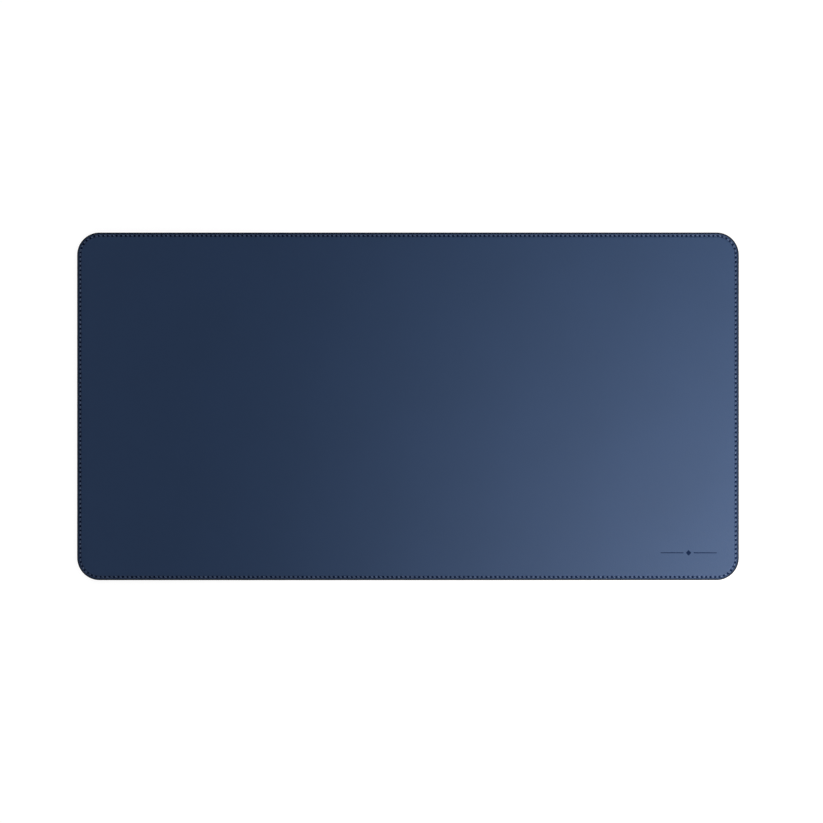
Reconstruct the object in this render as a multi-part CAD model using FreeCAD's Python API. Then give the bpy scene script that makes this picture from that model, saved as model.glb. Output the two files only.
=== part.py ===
"""Desk mat: a stitched, edge-painted sandwich of artificial leather, a rubber core and a suede backing.

The mat lies flat on a desk. Its frame has +Z up, +X along the long side to the right and +Y away
from the user. The origin is the centre of the underside. All sizes are in millimetres.

From the underside up, the glued sheets are the suede backing, a glue film, the core, another glue
film, the knitted carrier of the artificial leather and its polyurethane skin. A lockstitch seam
runs round the border. Along it every sheet is pressed thinner, so that the threads lie in a
channel on each side and the mat still rests flat. The needle thread dips through each hole, loops
under the bobbin thread in the middle of the mat and comes back up, so the two are linked like a
chain. The planes of their loops cross at a right angle and are turned a little from the seam, which
gives the stitches their slight slant. The cut edge is bevelled and sealed by a rounded bead of edge
paint.
"""

import FreeCAD
import Part
import math
import os

# ---------------------------------------------------------------- the mat as a whole
mat_length = 590.0          # along X
mat_depth = 310.0           # along Y
corner_radius = 20.0

# ---------------------------------------------------------------- the sheets, from the underside up
backing_thickness = 0.6     # microfibre suede that grips the desk
glue_thickness = 0.1        # each of the two glue films
core_thickness = 0.8        # dense rubber sheet that gives the mat its body
carrier_thickness = 0.6     # knitted textile under the skin
skin_thickness = 0.3        # polyurethane skin, the writing surface

# ---------------------------------------------------------------- the sealed edge
paint_thickness = 0.35      # how far the paint stands out from the cut edge
edge_bevel = 0.7            # bevel on both arrises of the cut edge, under the paint
edge_round = 0.9            # radius of the paint's outer shoulders

# ---------------------------------------------------------------- the seam
stitch_inset = 3.0          # from the outer edge to the line of holes
stitch_pitch = 4.0          # wanted distance between holes; the real one closes the loop
thread_diameter = 0.55
thread_gap = 0.03           # free space between the two threads where they link
hole_clearance = 0.03       # free space between a thread and the wall of its hole
channel_clearance = 0.01    # free space between a thread and the floor of its channel
channel_margin = 0.1        # flat floor left beside each hole
channel_wall_run = 0.3      # width of each sloping channel wall
upper_channel_depth = 0.3   # how far the seam is sunk into the skin
loop_turn = -20.0           # degrees from the seam's direction to the plane of the needle thread's loops
first_hole_share = 0.25     # where on the front side the first hole lies, as a share of the pitch

# ---------------------------------------------------------------- the pressed ornament
mark_length = 50.0
mark_bar_width = 0.8
mark_diamond_size = 5.0     # across its corners
mark_diamond_gap = 2.0      # between a bar and the diamond
mark_depth = 0.12
mark_from_right = 45.0      # from the mat's right edge to the middle of the ornament
mark_from_front = 24.5      # from the mat's front edge to the middle of the ornament

# ---------------------------------------------------------------- worked out from the sizes above
mat_thickness = (backing_thickness + glue_thickness + core_thickness + glue_thickness
                 + carrier_thickness + skin_thickness)
thread_radius = thread_diameter / 2
lower_channel_depth = thread_diameter + 2 * channel_clearance
seam_thickness = mat_thickness - lower_channel_depth - upper_channel_depth
loop_radius = thread_diameter + thread_gap
hole_radius = loop_radius + thread_radius + hole_clearance
channel_floor_half = hole_radius + channel_margin
lock_height = lower_channel_depth + seam_thickness / 2
UP = FreeCAD.Vector(0, 0, 1)
SLACK = 1.0                 # how far cutting tools run past the faces they cut
MITRED = 1                  # pipe corners are mitred, not rounded


def outline(inset, height):
    """Closed wire of the mat's outline at a height, `inset` inside the outer edge."""
    half_x = mat_length / 2 - inset
    half_y = mat_depth / 2 - inset
    radius = corner_radius - inset
    edges = []
    for quarter in range(4):
        along_x = quarter % 2 == 0
        half_run = (half_x if along_x else half_y) - radius
        half_across = half_y if along_x else half_x
        turn = FreeCAD.Rotation(UP, 90 * quarter)
        start = FreeCAD.Vector(-half_run, -half_across, height)
        end = FreeCAD.Vector(half_run, -half_across, height)
        centre = end + FreeCAD.Vector(0, radius, 0)
        middle = centre + FreeCAD.Vector(1, -1, 0) * (radius / math.sqrt(2))
        finish = centre + FreeCAD.Vector(radius, 0, 0)
        edges.append(Part.makeLine(turn.multVec(start), turn.multVec(end)))
        arc = Part.Arc(turn.multVec(end), turn.multVec(middle), turn.multVec(finish))
        edges.append(arc.toShape())
    return Part.Wire(edges)


def plate(low_inset, low_height, high_inset, high_height):
    """Solid between the outlines at two heights, with straight or sloping sides."""
    wires = [outline(low_inset, low_height), outline(high_inset, high_height)]
    return Part.makeLoft(wires, True, True)


# ---------------------------------------------------------------- the seam's holes


def seam_stations():
    """Centre, direction and inward normal of every hole, anticlockwise seen from above."""
    half_x = mat_length / 2 - corner_radius
    half_y = mat_depth / 2 - corner_radius
    radius = corner_radius - stitch_inset
    quarter_turn = radius * math.pi / 2
    stretches = []
    for quarter in range(4):
        along_x = quarter % 2 == 0
        half_run = half_x if along_x else half_y
        half_across = half_y if along_x else half_x
        stretches.append((quarter, half_run, half_across))
    loop_length = sum(2 * half_run + quarter_turn for _, half_run, _ in stretches)
    count = round(loop_length / stitch_pitch)
    step = loop_length / count
    stations = []
    for number in range(count):
        travel = (number + first_hole_share) * step
        for quarter, half_run, half_across in stretches:
            if travel < 2 * half_run + quarter_turn:
                break
            travel -= 2 * half_run + quarter_turn
        bend = max(0.0, travel - 2 * half_run) / radius
        centre = FreeCAD.Vector(half_run, -half_across, 0)
        centre.x += min(0.0, travel - 2 * half_run)
        heading = FreeCAD.Vector(math.cos(bend), math.sin(bend), 0)
        inward = FreeCAD.Vector(-math.sin(bend), math.cos(bend), 0)
        turn = FreeCAD.Rotation(UP, 90 * quarter)
        place = turn.multVec(centre - inward * radius)
        stations.append((place, turn.multVec(heading), turn.multVec(inward)))
    return stations


def needle_holes(stations):
    """Cylinders that punch every hole right through the mat."""
    height = mat_thickness + 2 * SLACK
    return [Part.makeCylinder(hole_radius, height, place - UP * SLACK) for place, _, _ in stations]


# ---------------------------------------------------------------- the sheets


def channel_ring(height, shift):
    """Ring that an interface at a height sweeps when the seam presses it up or down by `shift`."""
    near_edge = stitch_inset - channel_floor_half - channel_wall_run
    far_edge = stitch_inset + channel_floor_half + channel_wall_run
    outer = plate(near_edge, height, near_edge + channel_wall_run, height + shift)
    inner = plate(far_edge, height, far_edge - channel_wall_run, height + shift)
    return outer.cut(inner)


def seam_shift(height):
    """How far the seam moves an interface, with every sheet pressed to the same share."""
    return lower_channel_depth + height * (seam_thickness / mat_thickness - 1)


def cut_stack():
    """The bevelled outline that all the sheets are cut to together."""
    base = paint_thickness
    lower = plate(base + edge_bevel, 0, base, edge_bevel)
    middle = plate(base, edge_bevel, base, mat_thickness - edge_bevel)
    upper = plate(base, mat_thickness - edge_bevel, base + edge_bevel, mat_thickness)
    return lower.fuse([middle, upper]).removeSplitter()


def sheet(bottom, top, stack, holes):
    """One sheet of the sandwich, pressed along the seam and punched."""
    slab = plate(0, bottom, 0, top).common(stack)
    added = []
    removed = []
    for height, outward in ((bottom, -1), (top, 1)):
        shift = seam_shift(height)
        if abs(shift) > 1e-6:
            ring = channel_ring(height, shift)
            (added if shift * outward > 0 else removed).append(ring)
    for ring in added:
        slab = slab.fuse(ring)
    for ring in removed:
        slab = slab.cut(ring)
    return slab.removeSplitter().cut(holes)


def ornament(top):
    """Cutter for the pressed ornament: a diamond between two thin bars."""
    centre = FreeCAD.Vector(mat_length / 2 - mark_from_right, mark_from_front - mat_depth / 2,
                            top - mark_depth)
    tall = mark_depth + SLACK
    reach = mark_diamond_size / 2
    corners = [FreeCAD.Vector(x, y, 0) + centre
               for x, y in ((reach, 0), (0, reach), (-reach, 0), (0, -reach), (reach, 0))]
    diamond = Part.Face(Part.makePolygon(corners)).extrude(UP * tall)
    bar_length = mark_length / 2 - reach - mark_diamond_gap
    bars = []
    for start in (-mark_length / 2, reach + mark_diamond_gap):
        corner = centre + FreeCAD.Vector(start, -mark_bar_width / 2, 0)
        bars.append(Part.makeBox(bar_length, mark_bar_width, tall, corner))
    return [diamond] + bars


def edge_paint(stack):
    """Rounded bead that seals the cut edge, flush with both faces of the mat."""
    block = plate(0, 0, 0, mat_thickness)
    arrises = [edge for edge in block.Edges
               if abs(edge.Vertexes[0].Z - edge.Vertexes[-1].Z) < 1e-6]
    return block.makeFillet(edge_round, arrises).cut(stack)


# ---------------------------------------------------------------- the threads


def stitch(here, there, leg_here, leg_there, bar_height, side):
    """One stitch of a thread, from the middle of its loop in one hole to that in the next.

    `side` is 1 for the thread that lies on top and -1 for the one underneath. Its legs stand off
    the holes' centres by the loop radius, along the unit directions leg_here and leg_there. The
    thread is pulled tight, so it turns sharply at each end of a leg.
    """
    loop_height = lock_height - side * loop_radius / 2
    start = FreeCAD.Vector(here.x, here.y, loop_height)
    finish = FreeCAD.Vector(there.x, there.y, loop_height)
    rise = UP * (bar_height - loop_height)
    foot_here = start + leg_here * loop_radius
    foot_there = finish + leg_there * loop_radius
    path = Part.makePolygon([start, foot_here, foot_here + rise, foot_there + rise, foot_there, finish])
    section = Part.Wire(Part.makeCircle(thread_radius, start, leg_here))
    pipe = Part.BRepOffsetAPI.MakePipeShell(path)
    pipe.setTransitionMode(MITRED)
    pipe.add(section, False, False)
    pipe.build()
    pipe.makeSolid()
    return pipe.shape()


def thread(stations, bar_height, side):
    """A whole thread as one closed loop of stitches.

    The needle thread loops nearly along the seam and the bobbin thread across it, so each passes
    through the other's loop.
    """
    turn = FreeCAD.Rotation(UP, loop_turn if side > 0 else loop_turn + 90)
    stitches = []
    for number, (here, heading, _) in enumerate(stations):
        there, next_heading, _ = stations[(number + 1) % len(stations)]
        leg_here = turn.multVec(heading)
        leg_there = turn.multVec(next_heading) * -1
        stitches.append(stitch(here, there, leg_here, leg_there, bar_height, side))
    return stitches[0].fuse(stitches[1:]).removeSplitter()


# ---------------------------------------------------------------- the whole mat


def build():
    """Every piece of the mat, by name."""
    stations = seam_stations()
    holes = needle_holes(stations)
    stack = cut_stack()
    names = [
        ("suede_backing", backing_thickness),
        ("lower_glue_film", glue_thickness),
        ("rubber_core", core_thickness),
        ("upper_glue_film", glue_thickness),
        ("leather_carrier", carrier_thickness),
        ("leather_skin", skin_thickness),
    ]
    pieces = {}
    bottom = 0.0
    for name, thickness in names:
        pieces[name] = sheet(bottom, bottom + thickness, stack, holes)
        bottom += thickness
    pieces["leather_skin"] = pieces["leather_skin"].cut(ornament(bottom))
    pieces["edge_paint"] = edge_paint(stack)
    upper_bar = mat_thickness - upper_channel_depth + channel_clearance + thread_radius
    lower_bar = lower_channel_depth - channel_clearance - thread_radius
    pieces["needle_thread"] = thread(stations, upper_bar, 1)
    pieces["bobbin_thread"] = thread(stations, lower_bar, -1)
    return pieces


def main():
    os.makedirs("parts", exist_ok=True)
    for name, shape in build().items():
        shape.exportStep("parts/" + name + ".step")
        print(name, "solids", len(shape.Solids), "volume", round(shape.Volume, 1), "valid", shape.isValid())


main()
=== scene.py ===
"""Desk mat with a navy leather face, a stitched border, a painted edge and a suede underside.

Everything is in metres: +Z up, +X along the long side to the right, +Y away from the user.
Sizes written in millimetres are multiplied by MM. The core, the glue films and the leather's knitted
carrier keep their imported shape; the five pieces that show are finished here.
"""
import math
import random

import bmesh
import bpy
from mathutils import Matrix, Vector, noise


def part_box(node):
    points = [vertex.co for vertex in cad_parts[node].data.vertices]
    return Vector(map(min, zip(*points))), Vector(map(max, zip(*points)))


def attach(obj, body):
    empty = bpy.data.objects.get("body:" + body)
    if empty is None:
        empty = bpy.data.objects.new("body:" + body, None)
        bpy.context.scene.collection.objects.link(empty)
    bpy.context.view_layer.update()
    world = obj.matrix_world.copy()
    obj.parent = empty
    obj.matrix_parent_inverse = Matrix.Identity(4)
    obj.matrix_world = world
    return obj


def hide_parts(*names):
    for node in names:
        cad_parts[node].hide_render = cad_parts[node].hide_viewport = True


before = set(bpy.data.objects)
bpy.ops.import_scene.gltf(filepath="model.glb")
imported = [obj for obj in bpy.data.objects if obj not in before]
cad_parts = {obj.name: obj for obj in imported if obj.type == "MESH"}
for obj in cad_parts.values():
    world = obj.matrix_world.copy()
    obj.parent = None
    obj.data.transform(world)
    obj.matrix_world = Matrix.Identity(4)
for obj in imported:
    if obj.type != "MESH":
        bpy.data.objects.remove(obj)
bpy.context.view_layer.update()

MM = 0.001
ROOT = "root"

# ---------------------------------------------------------------- sizes of the real mat
MAT_LOW, MAT_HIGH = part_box("edge_paint")
MAT_LENGTH = MAT_HIGH[0] - MAT_LOW[0]
MAT_DEPTH = MAT_HIGH[1] - MAT_LOW[1]
FACE = MAT_HIGH[2]                      # height of the leather face
CORNER_RADIUS = 20 * MM
SEAM_INSET = 3 * MM                     # from the outer edge to the line of needle holes
SEAM_RADIUS = CORNER_RADIUS - SEAM_INSET
STITCH_PITCH = 4 * MM                   # wanted distance between needle holes
FIRST_HOLE_SHARE = 0.25                 # where the first hole lies, as a share of the pitch
SKIN_UNDERSIDE = 2.2 * MM               # where the leather skin meets its carrier
SUEDE_TOP = 0.6 * MM                    # where the suede meets the glue
UPPER_CHANNEL = 2.2 * MM                # floor of the seam channel in the leather
LOWER_CHANNEL = 0.57 * MM               # roof of the seam channel in the suede
FIELD_INSET = 5.2 * MM                  # where the border ends and the plain field begins
MERGE = 0.0005 * MM                     # corners closer than this are one

# ---------------------------------------------------------------- the line of the seam


def seam_stretches():
    """The four sides in turn: quarter turns, half the straight run and half the width across it."""
    half_x = MAT_LENGTH / 2 - CORNER_RADIUS
    half_y = MAT_DEPTH / 2 - CORNER_RADIUS
    return [(0, half_x, half_y), (1, half_y, half_x), (2, half_x, half_y), (3, half_y, half_x)]


CORNER_TRAVEL = SEAM_RADIUS * math.pi / 2
SEAM_LENGTH = sum(2 * half_run + CORNER_TRAVEL for _, half_run, _ in seam_stretches())
STITCH_COUNT = round(SEAM_LENGTH / STITCH_PITCH)
STITCH_STEP = SEAM_LENGTH / STITCH_COUNT


def seam_place(travel):
    """Point on the seam line and the way inwards from it, after a travel anticlockwise."""
    travel %= SEAM_LENGTH
    for quarter, half_run, half_across in seam_stretches():
        if travel < 2 * half_run + CORNER_TRAVEL:
            break
        travel -= 2 * half_run + CORNER_TRAVEL
    past_run = travel - 2 * half_run        # below zero on the straight run, above it in the corner
    bend = max(0.0, past_run) / SEAM_RADIUS
    centre = Vector((half_run + min(0.0, past_run), -half_across, 0))
    inward = Vector((-math.sin(bend), math.cos(bend), 0))
    turn = Matrix.Rotation(quarter * math.pi / 2, 3, "Z")
    return turn @ (centre - inward * SEAM_RADIUS), turn @ inward


def hole_travel(number):
    """Travel along the seam to a needle hole."""
    return (number + FIRST_HOLE_SHARE) * STITCH_STEP


# ---------------------------------------------------------------- making meshes into pieces


def finish_piece(name, bm, materials, slot, *replaced):
    """Cleans a bmesh and makes it a smooth piece with its faces outwards."""
    bmesh.ops.remove_doubles(bm, verts=bm.verts, dist=MERGE)
    bmesh.ops.recalc_face_normals(bm, faces=bm.faces)
    for face in bm.faces:
        face.smooth = True
    mesh = bpy.data.meshes.new(name)
    bm.to_mesh(mesh)
    bm.free()
    return place_piece(name, mesh, materials, slot, *replaced)


def place_piece(name, mesh, materials, slot, *replaced):
    """Object at the origin from a finished mesh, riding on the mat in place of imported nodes."""
    for material in materials:
        mesh.materials.append(material)
    piece = bpy.data.objects.new(name, mesh)
    bpy.context.scene.collection.objects.link(piece)
    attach(piece, ROOT)
    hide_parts(*replaced)
    return piece


def add_strip(bm, columns, rows, place):
    """Band of columns x rows cells whose two ends meet; place(column, row) gives each corner."""
    made = bmesh.ops.create_grid(bm, x_segments=columns, y_segments=rows, size=0.5)
    corners = {}
    for vert in made["verts"]:
        column = round((vert.co.x + 0.5) * columns)
        row = round((vert.co.y + 0.5) * rows)
        corners[column % columns, row] = vert
        vert.co = place(column % columns, row)
    return corners


def boundary_edges(bm, faces=None):
    """Edges on the rim of a mesh, or of some of its faces."""
    edges = {edge for face in (faces or bm.faces) for edge in face.edges}
    return [edge for edge in edges if edge.is_boundary]


# ---------------------------------------------------------------- the stitched sheets
# A needle hole's pit, which the thread pulls into the sheet, takes 4 x 4 cells of the border. The
# columns of one stitch, in mm from its hole, are the pit's five and one at the middle of the stitch.
PIT_STEPS = (-2, -1, 0, 1, 2)
PIT_CELL = 0.475            # mm
COLUMN_OFFSETS = (*(step * PIT_CELL for step in PIT_STEPS), 2.0)
COLUMNS_PER_STITCH = len(COLUMN_OFFSETS)
DEPTH_SPREAD = 0.12         # share by which the pits differ in depth

# Flanks of the seam channel from the field outwards, as (inset in mm, share of the channel's depth).
FIELD_FLANK = ((4.42, 0.0), (4.27, 0.08), (4.16, 0.42), (4.06, 0.88))
RIM_FLANK = ((1.94, 0.88), (1.84, 0.42), (1.73, 0.08), (1.62, 0.0))
RIM_ROUNDING = 0.08         # mm over which the face turns down at its rim
INNER_FLANKS = (1.7, 4.4)   # insets in mm between which the sheet's inner face is pressed along
LEATHER_EDGE = 0.75         # mm from the mat's outer edge to the leather's, under the paint
SUEDE_EDGE = 0.45           # and to the suede's


def pit_place(across_step, along_step, rings):
    """Where a corner of the cells round a needle hole goes: along the seam, across it, height.

    rings holds half the length along the seam, half the width across it and the height, for the
    rim, the throat and the bottom of the pit.
    """
    ring = max(abs(across_step), abs(along_step))
    half_long, half_wide, height = rings[2 - ring]
    if ring == 0:
        return 0.0, 0.0, height
    angle = math.atan2(across_step, along_step)
    if ring == 2:       # space the sixteen corners of the rim evenly
        side = round(angle / (math.pi / 2)) * (math.pi / 2)
        angle = side + round(2 * math.tan(angle - side)) * math.pi / 8
    return half_long * math.cos(angle), half_wide * math.sin(angle), height


def add_stitched_border(bm, section, outer_rings, inner_rings):
    """Border of a stitched sheet, from the field on its outer face round the rim to its inner face.

    section lists (inset in mm, height, which row of the pits or None, whether on the outer face).
    """
    chance = random.Random(7)
    depths = [1 + chance.uniform(-DEPTH_SPREAD, DEPTH_SPREAD) for _ in range(STITCH_COUNT)]

    def place(column, row):
        number, part = divmod(column, COLUMNS_PER_STITCH)
        inset, height, pit_row, outer = section[row]
        along = COLUMN_OFFSETS[part] * MM
        across = inset * MM - SEAM_INSET
        if pit_row is not None and part < len(PIT_STEPS):
            rings = outer_rings if outer else inner_rings
            along, across, height = pit_place(pit_row, PIT_STEPS[part], rings)
            height = rings[0][2] + (height - rings[0][2]) * depths[number]
        point, inward = seam_place(hole_travel(number) + along)
        return point + inward * across + Vector((0, 0, height))

    return add_strip(bm, STITCH_COUNT * COLUMNS_PER_STITCH, len(section) - 1, place)


def pit_rows(height, outer):
    """The five rows of a section that pass over the pits, from the field outwards."""
    return [(SEAM_INSET / MM + step * PIT_CELL, height, step, outer) for step in reversed(PIT_STEPS)]


def stitched_section(face, floor, inner_face, inner_floor, rim_inset, edge_inset, rim_drop):
    """Section of a stitched sheet's border; heights in metres, insets in mm.

    The sheet is bevelled: its outer face ends at rim_inset and its inner face at edge_inset.
    """
    depth = floor - face
    rim_flank = (*RIM_FLANK, (rim_inset + RIM_ROUNDING, 0.0))
    section = [(FIELD_INSET / MM, face, None, True)]
    section += [(inset, face + depth * share, None, True) for inset, share in FIELD_FLANK]
    section += pit_rows(floor, True)
    section += [(inset, face + depth * share, None, True) for inset, share in rim_flank]
    section += [(rim_inset, face + rim_drop, None, True), (edge_inset, inner_face, None, False)]
    section += [(INNER_FLANKS[0], inner_face, None, False)]
    section += reversed(pit_rows(inner_floor, False))
    section += [(INNER_FLANKS[1], inner_face, None, False)]
    section += [(FIELD_INSET / MM, inner_face, None, False)]
    return section


# ---------------------------------------------------------------- the plain field of a sheet
FIELD_CELL = 5 * MM
FIELD_GRID_INSET = 10.5 * MM
WAVE_HEIGHT = 0.09 * MM     # how far the laid mat is from perfectly flat
WAVE_LENGTH = 130 * MM
WAVE_FADE = 40 * MM         # the waves die out over this distance towards the seam
WAVE_LAYER = 3.7            # which layer of the noise the waves are cut from

# The ornament pressed into the right front corner: a bar, a diamond and a bar.
MARK_CENTRE = Vector((MAT_LENGTH / 2 - 45 * MM, 24.5 * MM - MAT_DEPTH / 2))
MARK_LENGTH = 50 * MM
MARK_BAR_WIDTH = 0.8 * MM
MARK_BAR_CORNERS = 16       # of the circle that its two round ends come from
MARK_DIAMOND = 5 * MM       # across its corners
MARK_GAP = 2 * MM           # between a bar and the diamond
MARK_BAR_MIDDLE = (MARK_DIAMOND / 2 + MARK_GAP + MARK_LENGTH / 2) / 2
MARK_BAR_HALF = MARK_LENGTH / 2 - MARK_BAR_MIDDLE - MARK_BAR_WIDTH / 2     # to its round end
MARK_DEPTH = 0.12 * MM
MARK_SHOULDER = 0.12 * MM   # width of the slope down to its floor
MARK_CLEARING = Vector((31 * MM, 8.5 * MM))     # half the room that the field's cells leave it


def add_grid(bm, size, cell):
    """Flat rectangular grid round the origin; gives its corners."""
    columns, rows = (round(extent / cell) for extent in size)
    made = bmesh.ops.create_grid(bm, x_segments=columns, y_segments=rows, size=0.5)
    bmesh.ops.scale(bm, vec=(size[0], size[1], 1), verts=made["verts"])
    return made["verts"]


def faces_of(verts):
    return list({face for vert in verts for face in vert.link_faces})


def press_figure(bm, centre, radius, corners, reach):
    """Presses a figure into the face, round or stretched lengthways by a reach; gives its rim.

    Its floor and its slopes take the second material.
    """
    # A circle that is stretched is first turned by half a step, so that no corner is in its middle.
    turn = Matrix.Rotation(math.pi / corners if reach else 0.0, 4, "Z")
    made = bmesh.ops.create_circle(bm, cap_ends=True, segments=corners, radius=radius,
                                   matrix=turn)["verts"]
    for vert in made:
        vert.co.x += math.copysign(reach, vert.co.x)
    bmesh.ops.translate(bm, vec=(centre[0], centre[1], FACE), verts=made)
    floor = faces_of(made)
    rim = list(floor[0].edges)
    slopes = bmesh.ops.inset_region(bm, faces=floor, thickness=MARK_SHOULDER, depth=-MARK_DEPTH,
                                    use_even_offset=True)["faces"]
    for face in floor + slopes:
        face.material_index = 1
    for edge in rim + list(floor[0].edges):
        edge.smooth = False
    return rim


def field_wave(x, y):
    """Height of the laid sheet's gentle waves at a place, fading out towards the seam."""
    edge = min(MAT_LENGTH / 2 - abs(x), MAT_DEPTH / 2 - abs(y)) - FIELD_INSET
    fade = min(1.0, max(0.0, edge / WAVE_FADE))
    fade = fade * fade * (3 - 2 * fade)
    return WAVE_HEIGHT * fade * noise.noise(Vector((x / WAVE_LENGTH, y / WAVE_LENGTH, WAVE_LAYER)))


def fill_between(bm, edges):
    """Fills what lies between an outer loop of edges and the loops inside it."""
    bmesh.ops.triangle_fill(bm, use_beauty=True, use_dissolve=False, edges=edges, normal=(0, 0, 1))


def paint_shade_in_pits(bm, section, corners):
    """Gives the faces inside the pits of the outer face the second material, whose near black is
    painted shade of the needle holes.
    """
    in_pits = set()
    for (column, row), vert in corners.items():
        pit_row, outer = section[row][2:]
        part = column % COLUMNS_PER_STITCH
        if outer and pit_row is not None and part < len(PIT_STEPS):
            in_pits.add(vert)
    for face in bm.faces:
        if all(vert in in_pits for vert in face.verts):
            face.material_index = 1


def leather_mesh():
    """The leather skin: waves, ornament, seam channel with its pits, and a rim under the paint."""
    bm = bmesh.new()
    section = stitched_section(FACE, UPPER_CHANNEL, SKIN_UNDERSIDE, inner_floor=2.0 * MM,
                               rim_inset=1.45, edge_inset=LEATHER_EDGE, rim_drop=-0.03 * MM)
    outer_rings = ((1.3 * MM, 1.03 * MM, UPPER_CHANNEL), (0.76 * MM, 0.77 * MM, 1.96 * MM),
                   (0, 0, 1.5 * MM))
    inner_rings = ((0.88 * MM, 0.88 * MM, 2.0 * MM), (0.84 * MM, 0.82 * MM, 1.55 * MM),
                   (0, 0, 1.1 * MM))
    corners = add_stitched_border(bm, section, outer_rings, inner_rings)
    # The pits' faces take the near-black second material: painted shade of the needle holes.
    paint_shade_in_pits(bm, section, corners)
    bmesh.ops.remove_doubles(bm, verts=bm.verts, dist=MERGE)
    rims = boundary_edges(bm)
    face_rim = [edge for edge in rims if edge.verts[0].co.z > FACE - MERGE]
    inner_rim = [edge for edge in rims if edge.verts[0].co.z < FACE - MERGE]
    fill_between(bm, inner_rim)

    grid_size = (MAT_LENGTH - 2 * FIELD_GRID_INSET, MAT_DEPTH - 2 * FIELD_GRID_INSET)
    field = add_grid(bm, grid_size, FIELD_CELL)
    covered = []
    for face in faces_of(field):
        from_mark = face.calc_center_median().xy - MARK_CENTRE
        if abs(from_mark.x) < MARK_CLEARING.x and abs(from_mark.y) < MARK_CLEARING.y:
            covered.append(face)
    bmesh.ops.delete(bm, geom=covered, context="FACES")
    field = [vert for vert in field if vert.is_valid]
    bmesh.ops.translate(bm, vec=(0, 0, FACE), verts=field)
    field_edges = boundary_edges(bm, faces_of(field))
    half_x = grid_size[0] / 2 - MERGE
    half_y = grid_size[1] / 2 - MERGE
    outer_edges = [edge for edge in field_edges
                   if all(abs(vert.co.x) > half_x or abs(vert.co.y) > half_y for vert in edge.verts)]
    hole_edges = [edge for edge in field_edges if edge not in outer_edges]
    fill_between(bm, face_rim + outer_edges)
    rims = press_figure(bm, MARK_CENTRE, MARK_DIAMOND / 2, 4, 0)
    for side in (-1, 1):
        middle = MARK_CENTRE + Vector((side * MARK_BAR_MIDDLE, 0))
        rims += press_figure(bm, middle, MARK_BAR_WIDTH / 2, MARK_BAR_CORNERS, MARK_BAR_HALF)
    fill_between(bm, hole_edges + rims)
    for vert in bm.verts:
        if vert.co.z > FACE - 2 * MARK_DEPTH:
            vert.co.z += field_wave(vert.co.x, vert.co.y)
    return bm


def suede_mesh():
    """The suede backing: flat on the desk, with the lower seam channel and its pits."""
    bm = bmesh.new()
    section = stitched_section(0.0, LOWER_CHANNEL, SUEDE_TOP, inner_floor=0.96 * MM,
                               rim_inset=1.05, edge_inset=SUEDE_EDGE, rim_drop=0.03 * MM)
    outer_rings = ((0.86 * MM, 0.86 * MM, LOWER_CHANNEL), (0.6 * MM, 0.7 * MM, 0.95 * MM),
                   (0, 0, 1.2 * MM))
    inner_rings = ((0.87 * MM, 0.87 * MM, 0.96 * MM), (0.7 * MM, 0.76 * MM, 1.15 * MM),
                   (0, 0, 1.35 * MM))
    add_stitched_border(bm, section, outer_rings, inner_rings)
    bmesh.ops.remove_doubles(bm, verts=bm.verts, dist=MERGE)
    rims = boundary_edges(bm)
    fill_between(bm, [edge for edge in rims if edge.verts[0].co.z < MERGE])
    fill_between(bm, [edge for edge in rims if edge.verts[0].co.z > MERGE])
    return bm


# ---------------------------------------------------------------- the painted edge
# Section of the bead of edge paint, as (inset, height) in mm, from the leather round to the suede
# and back along the bevelled sheets.
PAINT_SECTION = ((1.5, 2.488), (1.38, 2.52), (1.05, 2.53), (0.68, 2.48), (0.35, 2.32), (0.12, 2.05),
                 (0.02, 1.68), (0.0, 1.25), (0.02, 0.84), (0.12, 0.48), (0.33, 0.21), (0.62, 0.05),
                 (0.92, 0.0), (1.04, 0.01), (0.42, 0.68), (0.37, 1.25), (0.42, 1.82), (0.76, 2.18))
PAINT_INNER_ROWS = 4        # the last rows, which lie against the sheets
PAINT_COLUMNS = 1300
PAINT_WOBBLE = 0.045 * MM   # the bead is brushed on, so its surface is slightly uneven
PAINT_SWELL = 9 * MM        # length of its slow waves
PAINT_RIPPLE = 2.5 * MM     # and of its quick ones


def edge_paint_mesh():
    """The bead of paint, as one closed ring round the mat."""
    bm = bmesh.new()
    last = len(PAINT_SECTION)

    def place(column, row):
        inset, height = PAINT_SECTION[row % last]
        point, inward = seam_place(column * SEAM_LENGTH / PAINT_COLUMNS)
        across = inset * MM - SEAM_INSET
        if row % last < last - PAINT_INNER_ROWS:
            wobble = 0.6 * noise.noise(point / PAINT_SWELL + Vector((0, 0, height * 0.6)))
            wobble += 0.4 * noise.noise(point / PAINT_RIPPLE + Vector((0, 0, height * 1.5)))
            across += PAINT_WOBBLE * (0.5 + wobble)
        return point + inward * across + Vector((0, 0, height * MM))

    add_strip(bm, PAINT_COLUMNS, last, place)
    return bm


# ---------------------------------------------------------------- the threads
THREAD_RADIUS = 0.275 * MM
# One stitch of each thread, in mm from a needle hole: along the seam, across it, height.
NEEDLE_STITCH = ((0.0, 0.0, 0.57), (0.5, 0.08, 0.9), (0.88, 0.12, 1.7), (1.17, 0.13, 2.22),
                 (1.5, 0.1, 2.475), (2.0, 0.0, 2.485), (2.5, -0.1, 2.475), (2.83, -0.13, 2.22),
                 (3.12, -0.12, 1.7), (3.5, -0.08, 0.9))
BOBBIN_STITCH = ((0.0, 0.0, 1.12), (0.08, 0.44, 0.98), (0.16, 0.54, 0.74), (0.42, 0.5, 0.42),
                 (1.0, 0.3, 0.29), (2.0, 0.0, 0.28), (3.0, -0.3, 0.29), (3.58, -0.5, 0.42),
                 (3.84, -0.54, 0.74), (3.92, -0.44, 0.98))
STITCH_SLACK = 0.045 * MM   # how far a stitch strays sideways and lengthways
NEEDLE_SINK = 0.03 * MM     # how far the tightest needle stitches lie below the loosest
THREAD_PER_STITCH = 6.8 * MM
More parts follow.
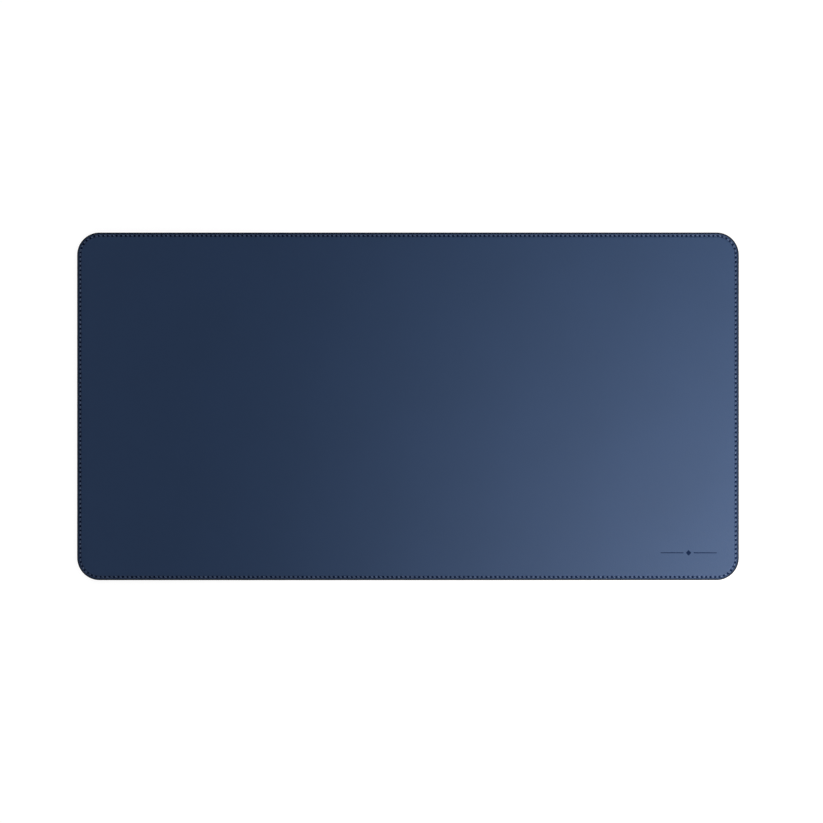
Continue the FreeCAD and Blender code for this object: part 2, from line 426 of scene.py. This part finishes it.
THREAD_LAY = 1.6 * MM       # length of one turn of the thread's twist
PAINTED_SHADE_HEIGHT = 1.35 * MM     # middle of the stretch of thread inside the holes whose colour is painted dark, as painted shade
PAINTED_SHADE_CORE = 0.3 * MM        # painted fully dark within this of it
PAINTED_SHADE_END = 0.9 * MM         # and no painted shade from here on


def thread_mesh(name, stitch, seed, sink_range):
    """One thread as a closed tube through every stitch."""
    chance = random.Random(seed)
    curve = bpy.data.curves.new(name, "CURVE")
    curve.dimensions = "3D"
    curve.bevel_depth = THREAD_RADIUS
    curve.bevel_resolution = 1      # six sides: the stitch is repeated hundreds of times
    curve.resolution_u = 1
    spline = curve.splines.new("POLY")
    spline.points.add(STITCH_COUNT * len(stitch) - 1)
    spline.use_cyclic_u = True
    middle = STITCH_PITCH / MM / 2
    index = 0
    for number in range(STITCH_COUNT):
        sideways = chance.uniform(-STITCH_SLACK, STITCH_SLACK)
        lengthways = chance.uniform(-STITCH_SLACK, STITCH_SLACK)
        sink = -chance.uniform(0, sink_range)
        for along, across, height in stitch:
            freedom = 1 - abs(along - middle) / middle
            point, inward = seam_place(hole_travel(number) + along * MM + lengthways * freedom)
            point += inward * (across * MM + sideways * freedom)
            point.z = height * MM + sink * freedom
            spline.points[index].co = (*point, 1)
            index += 1
    holder = bpy.data.objects.new(name + "_line", curve)
    mesh = bpy.data.meshes.new_from_object(holder)
    mesh.name = name
    mesh.shade_smooth()
    bpy.data.objects.remove(holder)
    bpy.data.curves.remove(curve)
    return mesh


# ---------------------------------------------------------------- materials


def colour(code):
    """Linear colour from an sRGB hex code."""
    shares = [int(code[place:place + 2], 16) / 255 for place in (1, 3, 5)]
    linear = [share / 12.92 if share <= 0.04045 else ((share + 0.055) / 1.055) ** 2.4
              for share in shares]
    return (*linear, 1.0)


def add(tree, kind, inputs=None, **settings):
    """Adds a shader node; inputs maps a socket's name or number to a value or a node's output."""
    made = tree.nodes.new("ShaderNode" + kind)
    for name, value in settings.items():
        setattr(made, name, value)
    for socket, value in (inputs or {}).items():
        if isinstance(value, bpy.types.NodeSocket):
            tree.links.new(value, made.inputs[socket])
        else:
            made.inputs[socket].default_value = value
    return made


def new_material(name, **surface):
    """Material with a surface shader, its node tree and object coordinates."""
    material = bpy.data.materials.new(name)
    material.use_nodes = True
    tree = material.node_tree
    tree.nodes.clear()
    values = {socket.replace("_", " "): value for socket, value in surface.items()}
    shader = add(tree, "BsdfPrincipled", values)
    add(tree, "OutputMaterial", {"Surface": shader.outputs["BSDF"]})
    place = add(tree, "TexCoord").outputs["Object"]
    return material, tree, shader, place


def link(tree, output, shader, socket):
    """Joins a node's output to a socket of the surface shader."""
    tree.links.new(output, shader.inputs[socket])


def per_metre(size_mm, features=1.0):
    """Texture scale that gives features of a size in millimetres."""
    return features / (size_mm * MM)


def leather_material():
    """Navy artificial leather: a polyurethane skin cast on release paper with a fine smooth grain.

    It looks even and almost matte, with a broad soft sheen towards the light. Grain cells are about
    0.8 mm across and only hundredths of a millimetre deep.
    """
    material, tree, shader, place = new_material("navy_pu_leather", IOR=1.5)
    cloud = add(tree, "TexNoise", {"Vector": place, "Scale": per_metre(70),
                                   "Detail": 3.0}).outputs["Fac"]
    mottle = add(tree, "TexNoise", {"Vector": place, "Scale": per_metre(2.2), "Detail": 4.0,
                                    "Roughness": 0.6}).outputs["Fac"]
    tone = add(tree, "Math", {0: mottle, 1: 0.6, 2: cloud}, operation="MULTIPLY_ADD").outputs["Value"]
    shade = add(tree, "MapRange", {"Value": tone, "To Max": 0.65}).outputs["Result"]
    ramp = add(tree, "ValToRGB", {"Fac": shade})
    ramp.color_ramp.elements[0].color = colour("#103054")
    ramp.color_ramp.elements[1].color = colour("#17365D")
    link(tree, ramp.outputs["Color"], shader, "Base Color")

    bent = add(tree, "TexNoise", {"Vector": place, "Scale": per_metre(1.6), "Detail": 2.0})
    shift = add(tree, "VectorMath", {0: bent.outputs["Color"], "Scale": 0.35 * MM}, operation="SCALE")
    bent_place = add(tree, "VectorMath", {0: place, 1: shift.outputs["Vector"]}, operation="ADD")
    cells = add(tree, "TexVoronoi", {"Vector": bent_place.outputs["Vector"],
                                     "Scale": per_metre(0.85)}, feature="SMOOTH_F1")
    pores = add(tree, "TexNoise", {"Vector": place, "Scale": per_metre(0.22), "Detail": 3.0})
    height = add(tree, "Math", {0: pores.outputs["Fac"], 1: 0.35, 2: cells.outputs["Distance"]},
                 operation="MULTIPLY_ADD").outputs["Value"]
    grain = add(tree, "Bump", {"Strength": 1.0, "Distance": 0.045 * MM, "Height": height},
                invert=True)
    link(tree, grain.outputs["Normal"], shader, "Normal")
    gloss = add(tree, "MapRange", {"Value": mottle, "To Min": 0.72 - 0.05, "To Max": 0.72 + 0.05})
    link(tree, gloss.outputs["Result"], shader, "Roughness")
    return material


def pressed_leather_and_pit_shade_material():
    """The same leather, matte and nearly black navy with faint smoky patches, in two places.

    In the pressed ornament a hot tool has closed the grain and darkened the dye. In the pits of the
    needle holes the near black is painted shade, standing in for the shade inside the holes.
    """
    material, tree, shader, place = new_material(
        "pressed_navy_pu_leather_and_painted_pit_shade", IOR=1.5, Roughness=0.9, Specular_IOR_Level=0.06)
    smoke = add(tree, "TexNoise", {"Vector": place, "Scale": per_metre(1.1),
                                   "Detail": 3.0}).outputs["Fac"]
    ramp = add(tree, "ValToRGB", {"Fac": smoke})
    ramp.color_ramp.elements[0].color = colour("#08142C")
    ramp.color_ramp.elements[1].color = colour("#122342")
    link(tree, ramp.outputs["Color"], shader, "Base Color")
    crust = add(tree, "Bump", {"Strength": 0.5, "Distance": 0.03 * MM, "Height": smoke})
    link(tree, crust.outputs["Normal"], shader, "Normal")
    return material


def thread_material(length):
    """Bonded polyester sewing thread of three plies, slightly lighter than the leather.

    Each ply is a bundle of bright filaments. Its colour is painted lighter on the crests of the twist
    and darker in the grooves between the plies, as painted highlight and painted shade. Where the
    thread is deep inside the mat its colour goes nearly black, as painted shade in the holes.
    """
    material, tree, shader, place = new_material(
        "slate_blue_polyester_thread", IOR=1.55, Roughness=0.6)
    around = add(tree, "UVMap", uv_map="UVMap").outputs["UV"]
    turns = round(length / THREAD_LAY)
    split = add(tree, "SeparateXYZ", {"Vector": around})
    along = add(tree, "Math", {0: split.outputs[0], 1: float(turns)},
                operation="MULTIPLY").outputs["Value"]
    phase = add(tree, "Math", {0: split.outputs[1], 1: along}, operation="ADD").outputs["Value"]
    plies = add(tree, "Math", {0: phase, 1: 3.0}, operation="MULTIPLY").outputs["Value"]
    share = add(tree, "Math", {0: plies}, operation="FRACT").outputs["Value"]
    bulge = add(tree, "Math", {0: share, 1: 0.5}, operation="SUBTRACT").outputs["Value"]
    square = add(tree, "Math", {0: bulge, 1: bulge}, operation="MULTIPLY").outputs["Value"]
    groove = add(tree, "MapRange", {"Value": square, "To Min": 1.0, "To Max": -3.0})
    fibre_place = add(tree, "CombineXYZ", {"X": along, "Y": phase, "Z": 0.0}).outputs["Vector"]
    fibres = add(tree, "TexNoise", {"Vector": fibre_place, "Scale": 9.0, "Detail": 2.0})
    height = add(tree, "Math", {0: fibres.outputs["Fac"], 1: 0.25, 2: groove.outputs["Result"]},
                 operation="MULTIPLY_ADD").outputs["Value"]
    # Painted highlight and painted shade: the colour is lighter on the crests of the plies and darker
    # in the grooves between them.
    ramp = add(tree, "ValToRGB", {"Fac": height})
    ramp.color_ramp.elements[0].color = colour("#29374F")
    ramp.color_ramp.elements[1].color = colour("#5D7097")
    # Painted shade: deep in the holes, round a set height, the thread's colour is mixed towards near
    # black.
    level = add(tree, "SeparateXYZ", {"Vector": place}).outputs["Z"]
    above = add(tree, "Math", {0: level, 1: PAINTED_SHADE_HEIGHT}, operation="SUBTRACT").outputs["Value"]
    away = add(tree, "Math", {0: above}, operation="ABSOLUTE").outputs["Value"]
    unshaded_share = add(tree, "MapRange", {"Value": away, "From Min": PAINTED_SHADE_CORE, "From Max": PAINTED_SHADE_END,
                                      "To Min": 0.05, "To Max": 1.0}).outputs["Result"]
    # On this node the two colours are inputs 6 and 7, and their mix is output 2.
    # Painted shade: the near-black colour stands in for the shade inside the holes.
    tone = add(tree, "Mix", {"Factor": unshaded_share, 6: colour("#070B14"), 7: ramp.outputs["Color"]},
               data_type="RGBA")
    link(tree, tone.outputs[2], shader, "Base Color")
    twist = add(tree, "Bump", {"Strength": 0.8, "Distance": 0.08 * MM, "Height": height})
    link(tree, twist.outputs["Normal"], shader, "Normal")
    return material


def edge_paint_material():
    """Acrylic edge paint, brushed on in two coats and left to level: nearly black navy, satin."""
    material, tree, shader, place = new_material(
        "navy_edge_paint", IOR=1.4, Specular_IOR_Level=0.15)
    drag = add(tree, "TexNoise", {"Vector": place, "Scale": per_metre(1.2),
                                  "Detail": 4.0}).outputs["Fac"]
    ramp = add(tree, "ValToRGB", {"Fac": drag})
    ramp.color_ramp.elements[0].color = colour("#101826")
    ramp.color_ramp.elements[1].color = colour("#1C2738")
    link(tree, ramp.outputs["Color"], shader, "Base Color")
    gloss = add(tree, "MapRange", {"Value": drag, "To Min": 0.6, "To Max": 0.8})
    link(tree, gloss.outputs["Result"], shader, "Roughness")
    level = add(tree, "Bump", {"Strength": 0.6, "Distance": 0.04 * MM, "Height": drag})
    link(tree, level.outputs["Normal"], shader, "Normal")
    return material


def suede_material():
    """Microfibre suede, sanded to a short nap: soft, matte, a little cloudy where the nap leans."""
    material, tree, shader, place = new_material(
        "slate_microfibre_suede", IOR=1.5, Roughness=0.95, Sheen_Weight=0.6, Sheen_Roughness=0.35,
        Sheen_Tint=colour("#A9B4C6"))
    lean = add(tree, "TexNoise", {"Vector": place, "Scale": per_metre(22), "Detail": 5.0,
                                  "Roughness": 0.65}).outputs["Fac"]
    fibres = add(tree, "TexNoise", {"Vector": place, "Scale": per_metre(0.5), "Detail": 5.0,
                                    "Roughness": 0.75}).outputs["Fac"]
    tone = add(tree, "Math", {0: fibres, 1: 0.8, 2: lean}, operation="MULTIPLY_ADD").outputs["Value"]
    shade = add(tree, "MapRange", {"Value": tone, "To Max": 0.6}).outputs["Result"]
    ramp = add(tree, "ValToRGB", {"Fac": shade})
    ramp.color_ramp.elements[0].color = colour("#232C3B")
    ramp.color_ramp.elements[1].color = colour("#414D62")
    link(tree, ramp.outputs["Color"], shader, "Base Color")
    nap = add(tree, "Bump", {"Strength": 0.9, "Distance": 0.12 * MM, "Height": fibres})
    link(tree, nap.outputs["Normal"], shader, "Normal")
    return material


def knit_material():
    """Polyester weft knit that carries the leather: pale, with wales about 0.9 mm apart."""
    material, tree, shader, place = new_material("pale_polyester_knit", IOR=1.55, Roughness=0.9,
                                                 Sheen_Weight=0.2)
    wales = add(tree, "TexWave", {"Vector": place, "Scale": per_metre(0.9, 0.5), "Distortion": 1.2,
                                  "Detail": 2.0, "Detail Scale": 2.0}, bands_direction="X")
    courses = add(tree, "TexWave", {"Vector": place, "Scale": per_metre(0.7, 0.5),
                                    "Distortion": 1.2, "Detail": 2.0}, bands_direction="Y")
    loops = add(tree, "Math", {0: courses.outputs["Fac"], 1: 0.6, 2: wales.outputs["Fac"]},
                operation="MULTIPLY_ADD").outputs["Value"]
    shade = add(tree, "MapRange", {"Value": loops, "To Max": 0.62}).outputs["Result"]
    ramp = add(tree, "ValToRGB", {"Fac": shade})
    ramp.color_ramp.elements[0].color = colour("#A9A79F")
    ramp.color_ramp.elements[1].color = colour("#D6D3C9")
    link(tree, ramp.outputs["Color"], shader, "Base Color")
    relief = add(tree, "Bump", {"Strength": 0.8, "Distance": 0.15 * MM, "Height": loops})
    link(tree, relief.outputs["Normal"], shader, "Normal")
    return material


def glue_material():
    """Cured hot-melt film: amber-white, waxy, with the faint swirls it was rolled on with."""
    material, tree, shader, place = new_material("hot_melt_film", IOR=1.48, Coat_Weight=0.1)
    swirl = add(tree, "TexNoise", {"Vector": place, "Scale": per_metre(9), "Detail": 3.0,
                                   "Distortion": 1.5}).outputs["Fac"]
    ramp = add(tree, "ValToRGB", {"Fac": swirl})
    ramp.color_ramp.elements[0].color = colour("#C9BE9E")
    ramp.color_ramp.elements[1].color = colour("#E3DBC3")
    link(tree, ramp.outputs["Color"], shader, "Base Color")
    gloss = add(tree, "MapRange", {"Value": swirl, "To Min": 0.32, "To Max": 0.5})
    link(tree, gloss.outputs["Result"], shader, "Roughness")
    return material


def rubber_material():
    """Calendered natural rubber sheet: dark grey, dull, with a fine talc bloom."""
    material, tree, shader, place = new_material("calendered_rubber", IOR=1.52)
    bloom = add(tree, "TexNoise", {"Vector": place, "Scale": per_metre(14), "Detail": 6.0,
                                   "Roughness": 0.7}).outputs["Fac"]
    speck = add(tree, "TexNoise", {"Vector": place, "Scale": per_metre(0.4),
                                   "Detail": 2.0}).outputs["Fac"]
    tone = add(tree, "Math", {0: speck, 1: 0.3, 2: bloom}, operation="MULTIPLY_ADD").outputs["Value"]
    shade = add(tree, "MapRange", {"Value": tone, "To Max": 0.8}).outputs["Result"]
    ramp = add(tree, "ValToRGB", {"Fac": shade})
    ramp.color_ramp.elements[0].color = colour("#1B1C1E")
    ramp.color_ramp.elements[1].color = colour("#34363A")
    link(tree, ramp.outputs["Color"], shader, "Base Color")
    gloss = add(tree, "MapRange", {"Value": bloom, "To Min": 0.75, "To Max": 0.92})
    link(tree, gloss.outputs["Result"], shader, "Roughness")
    grit = add(tree, "Bump", {"Strength": 0.5, "Distance": 0.05 * MM, "Height": speck})
    link(tree, grit.outputs["Normal"], shader, "Normal")
    return material


def floor_material():
    """Frosted opal acrylic of a light table, lit from below, so that it stays evenly white."""
    material, tree, shader, place = new_material(
        "opal_light_table", Roughness=0.95, IOR=1.45, Emission_Color=(1, 1, 1, 1),
        Emission_Strength=FLOOR_GLOW)
    tooth = add(tree, "TexNoise", {"Vector": place, "Scale": per_metre(3),
                                   "Detail": 3.0}).outputs["Fac"]
    ramp = add(tree, "ValToRGB", {"Fac": tooth})
    ramp.color_ramp.elements[0].color = colour("#7B7B7B")
    ramp.color_ramp.elements[1].color = colour("#808080")
    link(tree, ramp.outputs["Color"], shader, "Base Color")
    return material


# ---------------------------------------------------------------- the studio
FLOOR_GLOW = 0.9
FLOOR_RADIUS = 6.0
FLOOR_DROP = 0.2 * MM       # keeps the floor's face off the suede's
FILL_STRENGTH = 1.7         # brightness of the pale walls round the table
WALLS_FADE = (0.3, 0.8)     # they darken between these heights of a line of sight, 1 being overhead
KEY_POWER = 21.9
KEY_COLOUR = (1.0, 0.9, 0.8)   # slightly warmer than the fill
KEY_SIZE = 0.2
KEY_SPREAD = 88             # degrees
KEY_PLACE = (0.718, -0.70, 1.19)
KEY_AIM = (0.90, -0.40, 0.0)
SENSOR_WIDTH = 36           # mm
CAMERA_HEIGHT = 1.5         # above the mat's face
VIEW_WIDTH = 0.7333         # what the camera sees across, at the mat
CAMERA_X = 3.1 * MM         # the camera's place from the middle of the mat
CAMERA_Y = -4.6 * MM


def build_studio():
    """Lit white table, pale walls, one soft box and a camera that looks straight down."""
    scene = bpy.context.scene
    scene.view_settings.view_transform = "Standard"

    bm = bmesh.new()
    bmesh.ops.create_circle(bm, cap_ends=True, segments=64, radius=FLOOR_RADIUS)
    bmesh.ops.translate(bm, vec=(0, 0, -FLOOR_DROP), verts=bm.verts)
    mesh = bpy.data.meshes.new("floor")
    bm.to_mesh(mesh)
    bm.free()
    mesh.materials.append(floor_material())
    floor = bpy.data.objects.new("floor", mesh)
    scene.collection.objects.link(floor)

    # Pale walls all round and a dark ceiling, where the camera hangs.
    world = bpy.data.worlds.new("pale_studio")
    world.use_nodes = True
    tree = world.node_tree
    tree.nodes.clear()
    direction = add(tree, "TexCoord").outputs["Generated"]
    upward = add(tree, "SeparateXYZ", {"Vector": direction}).outputs["Z"]
    wall = add(tree, "MapRange", {"Value": upward, "From Min": WALLS_FADE[0],
                                  "From Max": WALLS_FADE[1], "To Min": FILL_STRENGTH,
                                  "To Max": 0.0}, interpolation_type="SMOOTHSTEP")
    back = add(tree, "Background", {"Color": (1.0, 1.0, 1.0, 1.0),
                                    "Strength": wall.outputs["Result"]})
    add(tree, "OutputWorld", {"Surface": back.outputs["Background"]})
    scene.world = world

    # Soft box with a grid, high beyond the right front corner.
    lamp = bpy.data.lights.new("soft_box", "AREA")
    lamp.energy = KEY_POWER
    lamp.color = KEY_COLOUR
    lamp.size = KEY_SIZE
    lamp.spread = math.radians(KEY_SPREAD)
    key = bpy.data.objects.new("soft_box", lamp)
    key.location = KEY_PLACE
    aim = Vector(KEY_AIM) - key.location
    key.rotation_euler = aim.to_track_quat("-Z", "Y").to_euler()
    scene.collection.objects.link(key)

    lens = bpy.data.cameras.new("overhead")
    lens.sensor_width = SENSOR_WIDTH
    lens.lens = SENSOR_WIDTH * CAMERA_HEIGHT / VIEW_WIDTH
    camera = bpy.data.objects.new("overhead", lens)
    camera.location = (CAMERA_X, CAMERA_Y, FACE + CAMERA_HEIGHT)
    scene.collection.objects.link(camera)
    scene.camera = camera


# ---------------------------------------------------------------- the mat

build_studio()

# The second finish is the ornament's darkened dye and the painted shade in the needle pits.
leather_finishes = [leather_material(), pressed_leather_and_pit_shade_material()]
leather = finish_piece("leather_face", leather_mesh(), leather_finishes, "leather", "leather_skin")
suede = finish_piece("suede_underside", suede_mesh(), [suede_material()], "suede", "suede_backing")
finish_piece("painted_edge", edge_paint_mesh(), [edge_paint_material()], "edge_paint", "edge_paint")
thread = [thread_material(STITCH_COUNT * THREAD_PER_STITCH)]
place_piece("upper_stitches", thread_mesh("upper_stitches", NEEDLE_STITCH, 11, NEEDLE_SINK),
            thread, "thread", "needle_thread")
place_piece("lower_stitches", thread_mesh("lower_stitches", BOBBIN_STITCH, 12, 0.0),
            thread, "thread", "bobbin_thread")

inner_finishes = {
    "leather_carrier": knit_material(),
    "upper_glue_film": glue_material(),
    "rubber_core": rubber_material(),
}
inner_finishes["lower_glue_film"] = inner_finishes["upper_glue_film"]
for node, material in inner_finishes.items():
    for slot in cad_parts[node].material_slots:
        slot.material = material
